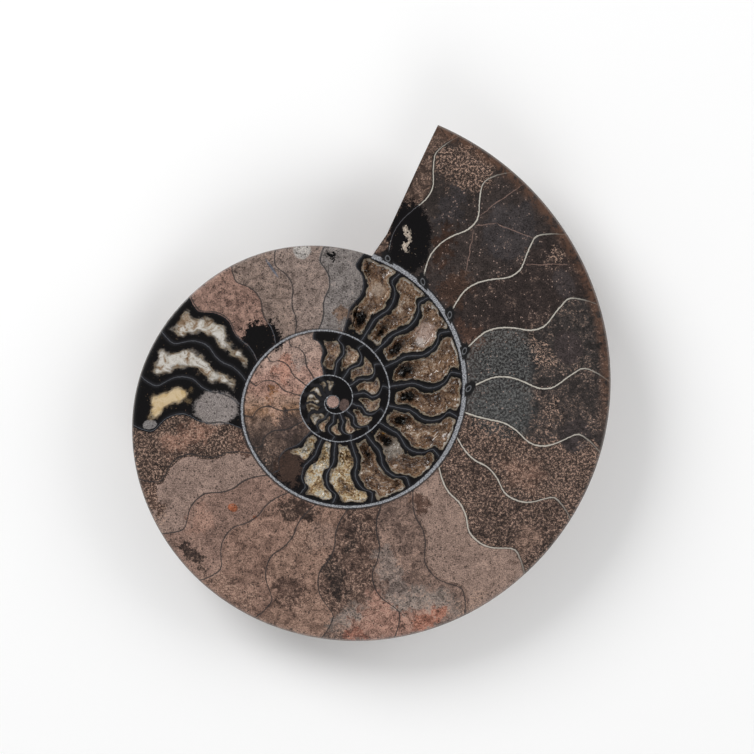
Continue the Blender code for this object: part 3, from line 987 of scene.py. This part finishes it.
def shell_back_finish():
    """The weathered back."""
    finish = Finish("weathered_shell_back", IOR=1.5, Coat_Roughness=0.3)
    place = finish.node("ShaderNodeTexCoord", {}, {}, "Object")
    broad = finish.cloud(place, 28.0, 5.0, 0.6, 0.5)
    patchy = finish.cloud(place, 90.0, 6.0, 0.65, 0.8)
    grit = finish.cloud(place, 700.0, 4.0, 0.7)
    colour = finish.ramp(broad * 0.55 + patchy * 0.45, SHELL_TONES)
    frill = finish.cloud(place, 210.0, 4.0, 0.7, output=COLOUR_OUTPUT)
    frilled = finish.vector("ADD", place, finish.scaled(frill, 0.03))
    sutures = finish.cells(frilled, 55.0, "DISTANCE_TO_EDGE")
    line = sutures.rise(0.06, 0.02) * broad.rise(0.35, 0.55)
    colour = finish.paint(line * 0.5, colour, SUTURE)
    colour = finish.paint(grit.rise(0.56, 0.75) * 0.4, colour, BACK_GRIT)
    finish.feed("Base Color", colour)
    finish.feed("Roughness", broad.rise(0.3, 0.7, 0.32, 0.6))
    finish.bump(patchy * 0.5 + grit * 0.25 - line * 0.2, 0.6, 0.0006)
    return finish.material


def break_finish():
    """The broken mouth."""
    finish = Finish("broken_mudstone", Roughness=0.75)
    place = finish.node("ShaderNodeTexCoord", {}, {}, "Object")
    broad = finish.cloud(place, 60.0, 6.0, 0.7, 0.4)
    grit = finish.cloud(place, 500.0, 4.0, 0.75)
    finish.feed("Base Color", finish.ramp(broad * 0.7 + grit * 0.3, BREAK_TONES))
    finish.bump(broad + grit * 0.3, 0.9, 0.0015)
    return finish.material


def add_piece(name, mesh, finishes, slot, *nodes):
    """Puts a finished piece on the body and hides the imported parts that it stands in for."""
    for finish in finishes:
        mesh.materials.append(finish)
    piece = bpy.data.objects.new(name, mesh)
    bpy.context.scene.collection.objects.link(piece)
    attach(piece, "root")
    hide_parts(*nodes)


SHARP_ANGLE = math.radians(38.0)
stone = stone_mesh()
stone.shade_smooth()
stone.set_sharp_from_angle(angle=SHARP_ANGLE)
stone_finishes = [face.material, shell_back_finish(), break_finish()]
add_piece("ammonite_stone", stone, stone_finishes, "polished_stone", "fossil_half")


# The crystal crusts. Calcite grew from the walls of each open chamber towards its middle: small brown
# crystals in a thick sugary crust, and in the first few chambers bigger pale ones.

CRUST_COLUMNS = 14
CRUST_ROWS = 34
SHEET_THICKNESS = 0.3
SHEET_LIFT = 0.12
SHEET_TOP = -0.12
CRYSTAL_TOP = -0.06
BROWN_GROWTH = 0.55
PALE_GROWTH = 0.8
FEWEST_CRYSTALS = 60
CRYSTAL_DENSITY = 26.0
PALE_DENSITY = 0.7
RIM_MARGIN = 0.3
SHORTEST_CRYSTAL = 0.2
CRYSTAL_LEAN = 0.75
CRYSTAL_SIDES = 5
TIP_SHARE = 0.22
PALE_COUNT = 3


def chamber_point(number, share, across):
    """The angle of a place in a chamber, from the septum before it, 0, to the one after, 1."""
    rows = septum_angles(across)
    return rows[number] + share * (rows[number + 1] - rows[number])


def crust_sheet(bm, number):
    """A lumpy sheet on a chamber's floor. It gives back the chamber's mean breadth between its septa."""
    lining, low, high, depth = CORES[number]
    made = bmesh.ops.create_grid(bm, x_segments=CRUST_COLUMNS, y_segments=CRUST_ROWS, size=0.5)["verts"]
    flat = np.array([vertex.co[:2] for vertex in made]) + 0.5
    across = low + (high - low) * (0.02 + 0.96 * flat[:, 1])
    _, _, pitch, _ = core_distance(chamber_point(number, 0.5, across), across)
    open_share = np.clip(1.0 - 2.0 * lining / pitch, 0.15, 1.0)
    angle = chamber_point(number, 0.5 + (flat[:, 0] - 0.5) * open_share * 0.96, across)
    rim, _, _, _ = core_distance(angle, across)
    floor = pit_level(rim, depth, across)
    radius = tube_radius(angle, across)
    x, y = radius * np.cos(np.radians(angle)), radius * np.sin(np.radians(angle))
    for index, vertex in enumerate(made):
        lump = noise.fractal(Vector((x[index], y[index], number)) * 0.55, 0.9, 2.2, 4)
        lift = (0.25 + 0.35 * lump) * min(1.0, floor[index])
        level = min(-floor[index] + SHEET_LIFT + max(lift, 0.0), SHEET_TOP)
        vertex.co = Vector((x[index], y[index], level)) * MM
    for item in bmesh.ops.extrude_face_region(bm, geom=list(bm.faces))["geom"]:
        if isinstance(item, bmesh.types.BMVert):
            item.co.z -= SHEET_THICKNESS * MM
    bmesh.ops.recalc_face_normals(bm, faces=bm.faces[:])
    return float(np.mean(pitch))


def stand_crystals(bm, number, breadth, chance, pale):
    """Blunt crystals of many sizes, standing at a lean on a chamber's floor and ending below the cut face."""
    _, low, high, depth = CORES[number]
    growth = PALE_GROWTH if pale else BROWN_GROWTH * math.sqrt(depth / HOLLOW_DEPTH)
    density = CRYSTAL_DENSITY * ((high - low) * breadth) * (PALE_DENSITY if pale else 1.0)
    for _ in range(int(FEWEST_CRYSTALS + density)):
        across = np.array([chance.uniform(low, high)])
        angle = chamber_point(number, np.array([chance.uniform(0.12, 0.88)]), across)
        rim, _, _, _ = core_distance(angle, across)
        if rim[0] > -RIM_MARGIN:
            continue
        floor = pit_level(rim, depth, across)[0]
        radius = tube_radius(angle, across)[0]
        turn = math.radians(angle[0])
        size = growth * chance.uniform(0.5, 1.5)
        length = min(size * chance.uniform(1.2, 2.4), floor - 0.15)
        if length < SHORTEST_CRYSTAL:
            continue
        lean = Matrix.Rotation(chance.uniform(-CRYSTAL_LEAN, CRYSTAL_LEAN), 4, "X")
        lean = lean @ Matrix.Rotation(chance.uniform(-CRYSTAL_LEAN, CRYSTAL_LEAN), 4, "Y")
        spin = Matrix.Rotation(chance.uniform(0.0, math.pi), 4, "Z")
        foot = Vector((radius * math.cos(turn), radius * math.sin(turn), -floor)) * MM
        place = Matrix.Translation(foot) @ lean @ spin @ Matrix.Translation((0.0, 0.0, 0.3 * length * MM))
        bmesh.ops.create_cone(
            bm,
            cap_ends=True,
            segments=CRYSTAL_SIDES,
            radius1=size * MM,
            radius2=TIP_SHARE * size * MM,
            depth=length * MM,
            matrix=place,
        )


def crust_mesh(name, number, chance, pale):
    """One chamber's crust, with its depth below the cut face kept on every corner."""
    bm = bmesh.new()
    layer = bm.loops.layers.uv.new("depth")
    breadth = crust_sheet(bm, number)
    stand_crystals(bm, number, breadth, chance, pale)
    for face in bm.faces:
        for loop in face.loops:
            loop[layer].uv = (-loop.vert.co.z / MM, 0.0)
    for vertex in bm.verts:
        vertex.co.z = min(vertex.co.z, CRYSTAL_TOP * MM)
    bmesh.ops.transform(bm, matrix=RESTING, verts=bm.verts[:])
    return finished_mesh(bm, name)


BROWN_TONES = (
    (0.38, (36, 25, 19)),
    (0.45, (80, 57, 42)),
    (0.51, (118, 91, 69)),
    (0.57, (150, 122, 97)),
    (0.64, (206, 193, 179)),
)
PALE_TONES = (
    (0.39, (58, 44, 32)),
    (0.46, (140, 110, 74)),
    (0.51, (186, 164, 124)),
    (0.56, (190, 186, 176)),
    (0.62, (118, 112, 104)),
)
PAINTED_DEPTH_SHADE = (50, 36, 26)
PAINTED_HOLE_SHADE = (20, 15, 12)
GLINT = (232, 222, 205)

# Places in the hollows where the crystals have a colour of their own, and two painted glints: x, y and radius
# in millimetres
# The two small bright spots, at 36.0, 24.6 and 20.6, -13.8, are painted glints, spots of light painted as
# colour
STAINS_AND_GLINTS = (
    (38.0, 28.6, 4.4, (196, 172, 160)),
    (36.0, 24.6, 2.2, (214, 204, 198)),
    (24.6, -19.0, 4.6, (150, 144, 136)),
    (20.6, -13.8, 1.3, (214, 158, 70)),
    (18.6, 46.0, 3.0, (176, 158, 142)),
)
SPOT_LEVEL = -2.0


def crystal_finish(name, tones, deep, roughness):
    """Crystals with painted glints near the tips and painted shade down in the holes."""
    finish = Finish(name, IOR=1.6, Coat_Weight=0.3, Coat_Roughness=0.1)
    place = finish.node("ShaderNodeTexCoord", {}, {}, "Object")
    depth, _ = finish.pair("depth")
    broad = finish.cloud(place, 170.0, 5.0, 0.66, 0.8)
    sparkle = finish.cloud(place, 1100.0, 3.0, 0.8)
    colour = finish.ramp(broad * 0.6 + sparkle * 0.4, tones)
    # Spots of the crystals' own colour, and the two painted glints
    for x, y, radius, spot_colour in STAINS_AND_GLINTS:
        centre = RESTING @ (Vector((x, y, SPOT_LEVEL)) * MM)
        away = finish.vector("DISTANCE", place, tuple(centre), "Value")
        spotted = (away / (radius * MM) + (sparkle - 0.5) * 2.0).rise(1.2, 0.6)
        colour = finish.paint(spotted * 0.75, colour, spot_colour)
    # Painted shade: the crystals darken with depth below the cut face and go near black deep in the holes
    colour = finish.paint(depth.rise(deep * 0.3, deep * 0.8) * 0.35, colour, PAINTED_DEPTH_SHADE)
    colour = finish.paint(depth.rise(deep * 0.66, deep * 0.84), colour, PAINTED_HOLE_SHADE)
    glint = sparkle.rise(0.66, 0.74) * depth.rise(deep, deep * 0.4) * 0.7
    colour = finish.paint(glint, colour, GLINT)
    finish.feed("Base Color", colour)
    finish.feed("Roughness", sparkle.rise(0.3, 0.7, roughness - 0.1, roughness + 0.2))
    return finish.material


brown_crystals = crystal_finish("brown_crystals", BROWN_TONES, 6.0, 0.22)
pale_calcite = crystal_finish("cream_calcite", PALE_TONES, 4.5, 0.2)
open_chambers = sorted(number for number, values in CORES.items() if values[3] > 0.0)
middle_first = septum_number(MIDDLE_SEPTA[0])
middle_chambers = [number for number in open_chambers if number >= middle_first]
inner_chambers = [number for number in open_chambers if number < middle_first]
for count, number in enumerate(middle_chambers + inner_chambers, 1):
    pale = count <= PALE_COUNT
    label = f"chamber_crystals_{count:02d}"
    crust = crust_mesh(label, number, np.random.default_rng(count), pale)
    finish, slot = (pale_calcite, "cream_calcite") if pale else (brown_crystals, "brown_crystals")
    add_piece(label, crust, [finish], slot, f"crystal_crust_{count:02d}")


# The table: a plain pale floor that the stone lies on.

FLOOR_HALF = 3.0
bm = bmesh.new()
bmesh.ops.create_grid(bm, x_segments=1, y_segments=1, size=FLOOR_HALF)
floor_mesh = finished_mesh(bm, "table_floor")
floor_paint = Finish("pale_floor", Base_Color=(0.96, 0.96, 0.96, 1.0), Roughness=0.7)
floor_mesh.materials.append(floor_paint.material)
floor = bpy.data.objects.new("table_floor", floor_mesh)
bpy.context.scene.collection.objects.link(floor)


# Soft studio light from the sides, and the camera straight above the cut face, framed as the photo is.

FACE_NORMAL = RESTING.to_3x3() @ UP
CAMERA_DISTANCE = 0.95
FRAME_WIDTH = 0.3091
SENSOR = 36.0
NEAREST_SEEN = 0.01
FRAME_CENTRE = Vector((18.1, 10.2, 0.0)) * MM
SKY_RANGE = {"From Min": 0.8, "From Max": 0.94, "To Min": 0.52, "To Max": 0.04}


def area_light(name, place, size, power):
    """A round soft light that points at the stone."""
    lamp = bpy.data.lights.new(name, "AREA")
    lamp.shape = "DISK"
    lamp.size = size
    lamp.energy = power
    holder = bpy.data.objects.new(name, lamp)
    holder.location = place
    holder.rotation_euler = (-Vector(place)).to_track_quat("-Z", "Y").to_euler()
    bpy.context.scene.collection.objects.link(holder)


area_light("window_light", (-0.9, 0.8, 0.9), 0.9, 14.0)
area_light("side_light", (1.1, 0.3, 0.7), 0.8, 5.5)
area_light("front_light", (0.1, -1.1, 0.9), 0.8, 4.5)

# The sky is pale all round and darker overhead, so that the polish shows no glare
world = bpy.data.worlds.new("studio")
world.use_nodes = True
sky = world.node_tree
direction = sky.nodes.new("ShaderNodeTexCoord")
split = sky.nodes.new("ShaderNodeSeparateXYZ")
overhead = sky.nodes.new("ShaderNodeMapRange")
overhead.interpolation_type = "SMOOTHSTEP"
for socket, value in SKY_RANGE.items():
    overhead.inputs[socket].default_value = value
sky.links.new(direction.outputs["Generated"], split.inputs["Vector"])
sky.links.new(split.outputs["Z"], overhead.inputs["Value"])
sky.links.new(overhead.outputs["Result"], sky.nodes["Background"].inputs["Strength"])
sky.nodes["Background"].inputs["Color"].default_value = (1.0, 1.0, 1.0, 1.0)
bpy.context.scene.world = world
bpy.context.scene.view_settings.view_transform = "Standard"

lens = bpy.data.cameras.new("camera")
lens.sensor_width = SENSOR
lens.lens = SENSOR * CAMERA_DISTANCE / FRAME_WIDTH
lens.clip_start = NEAREST_SEEN
camera = bpy.data.objects.new("camera", lens)
upward = (RESTING.to_3x3() @ Vector((0.0, 1.0, 0.0))).normalized()
rightward = upward.cross(FACE_NORMAL).normalized()
axes = Matrix((rightward, upward, FACE_NORMAL)).transposed().to_4x4()
target = RESTING @ FRAME_CENTRE
camera.matrix_world = Matrix.Translation(target + FACE_NORMAL * CAMERA_DISTANCE) @ axes
bpy.context.scene.collection.objects.link(camera)
bpy.context.scene.camera = camera
